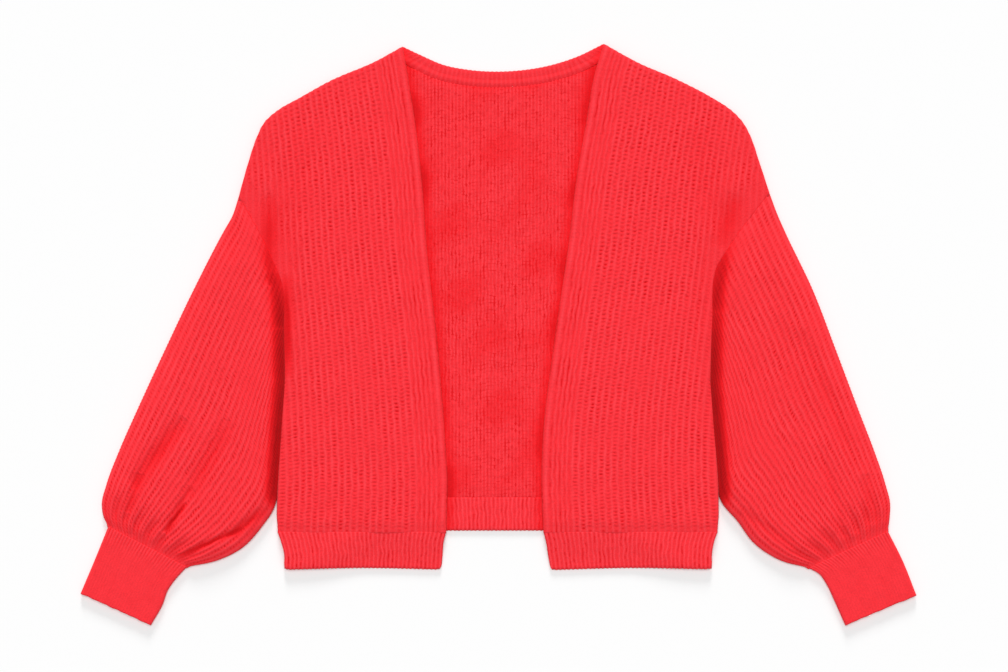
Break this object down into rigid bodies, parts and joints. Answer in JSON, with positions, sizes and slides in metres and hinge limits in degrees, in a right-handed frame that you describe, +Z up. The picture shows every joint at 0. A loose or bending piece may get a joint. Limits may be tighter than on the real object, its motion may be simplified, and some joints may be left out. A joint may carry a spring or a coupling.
{
  "type": "open-front knit cardigan",
  "caption": "Cropped open-front rib-knit cardigan with dropped shoulders, balloon sleeves and close rib cuffs, laid flat with its fronts upward.",
  "frame": {"origin": "middle of the outline, on the surface the cardigan lies on", "axes": "+X towards the wearer's left sleeve, +Y towards the neck, +Z up from the surface through the fronts"},
  "size_m": [0.903, 0.628, 0.011],
  "materials": {
    "body_knit": "tuck-stitch rib in brushed coral-red wool blend, matt with a light halo of fibre",
    "rib_band": "close 1x1 rib in the same yarn, matt",
    "cuff_knit": "fine close rib in the same yarn, felted almost smooth"
  },
  "bodies": {
    "root": {"back_panel": "body_knit", "front_right": "body_knit", "front_left": "body_knit", "sleeve_right": "body_knit", "sleeve_left": "body_knit", "back_hem": "rib_band", "front_hem_right": "rib_band", "front_hem_left": "rib_band", "back_neckband": "rib_band", "cuff_right": "cuff_knit", "cuff_left": "cuff_knit"}
  },
  "joints": []
}
